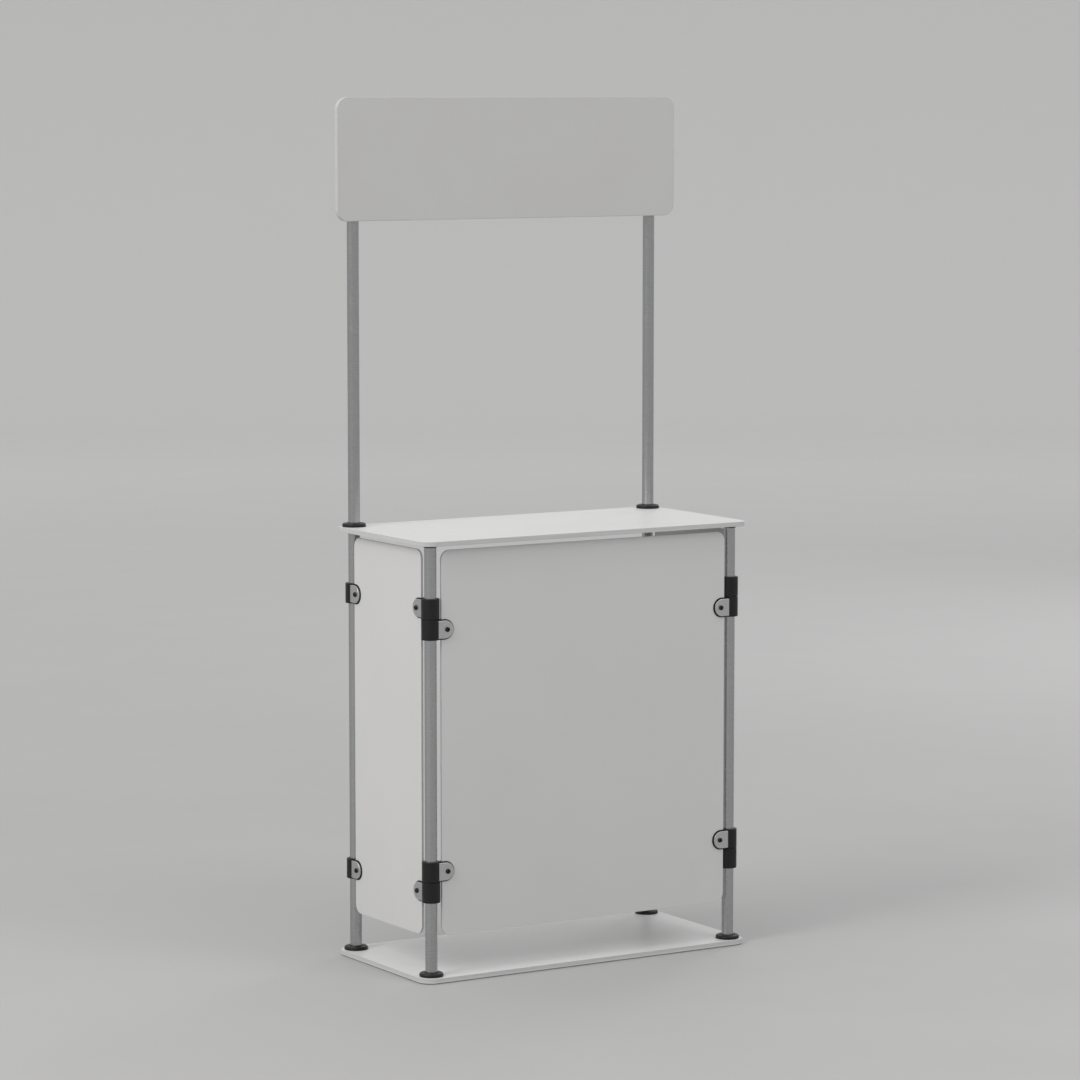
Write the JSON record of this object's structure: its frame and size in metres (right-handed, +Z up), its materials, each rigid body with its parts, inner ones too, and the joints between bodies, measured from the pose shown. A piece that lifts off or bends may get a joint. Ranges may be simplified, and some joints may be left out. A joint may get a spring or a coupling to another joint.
{
  "type": "display counter with header sign",
  "caption": "Knock-down display counter: base and counter boards on four tube legs, clamped front and side panels, and a header sign on two posts.",
  "frame": {"origin": "on the floor, at the centre of the base board", "axes": "+Z up, -Y towards the public (front panel and header sign face), +X to the right as seen from the front"},
  "size_m": [0.834, 0.38, 1.81],
  "materials": {
    "board_laminate": "light grey satin laminate",
    "edge_band": "satin plastic edging",
    "panel_sheet": "matt light grey sheet",
    "tube_steel": "satin",
    "jaw_metal": "satin",
    "black_plastic": "black moulded, fine texture",
    "black_rubber": "matt",
    "black_screw": "black oxide",
    "zinc_screw": "zinc plated",
    "insert_brass": "machined",
    "saddle_steel": "satin"
  },
  "bodies": {
    "base": {"base_board": "board_laminate", "base_edge_band": "edge_band", "base_flange_front_left": "black_plastic", "base_flange_front_right": "black_plastic", "base_flange_rear_left": "black_plastic", "base_flange_rear_right": "black_plastic", "base_screws": "zinc_screw", "clamp_nuts": "zinc_screw", "clamp_screws": "black_screw", "clamp_set_screws": "black_screw", "floor_pads": "black_rubber", "front_clamp_left_lower": "black_plastic", "front_clamp_left_upper": "black_plastic", "front_clamp_right_lower": "black_plastic", "front_clamp_right_upper": "black_plastic", "front_panel": "panel_sheet", "front_panel_jaws": "jaw_metal", "jaw_pads": "black_rubber", "left_clamp_front_lower": "black_plastic", "left_clamp_front_upper": "black_plastic", "left_clamp_rear_lower": "black_plastic", "left_clamp_rear_upper": "black_plastic", "left_panel": "panel_sheet", "left_panel_jaws": "jaw_metal", "leg_front_left": "tube_steel", "leg_front_right": "tube_steel", "leg_inserts": "insert_brass", "leg_rear_left": "tube_steel", "leg_rear_right": "tube_steel", "right_clamp_front_lower": "black_plastic", "right_clamp_front_upper": "black_plastic", "right_clamp_rear_lower": "black_plastic", "right_clamp_rear_upper": "black_plastic", "right_panel": "panel_sheet", "right_panel_jaws": "jaw_metal"},
    "counter": {"counter_board": "board_laminate", "counter_edge_band": "edge_band", "counter_inserts": "insert_brass", "counter_plug_front_left": "black_plastic", "counter_plug_front_right": "black_plastic", "counter_plug_rear_left": "black_plastic", "counter_plug_rear_right": "black_plastic", "counter_screws_front": "zinc_screw", "counter_screws_rear": "zinc_screw", "post_flange_left": "black_plastic", "post_flange_right": "black_plastic"},
    "header": {"header_board": "board_laminate", "header_edge_band": "edge_band", "header_post_left": "tube_steel", "header_post_right": "tube_steel", "header_saddle_left_lower": "saddle_steel", "header_saddle_left_upper": "saddle_steel", "header_saddle_right_lower": "saddle_steel", "header_saddle_right_upper": "saddle_steel", "header_screws": "zinc_screw", "post_cap_left": "black_plastic", "post_cap_right": "black_plastic"}
  },
  "joints": [
    {"name": "counter_lift", "type": "slide", "parent": "base", "child": "counter", "axis": [0, 0, 1], "range_m": [0, 0.04]},
    {"name": "header_lift", "type": "slide", "parent": "counter", "child": "header", "axis": [0, 0, 1], "range_m": [0, 0.04]}
  ]
}
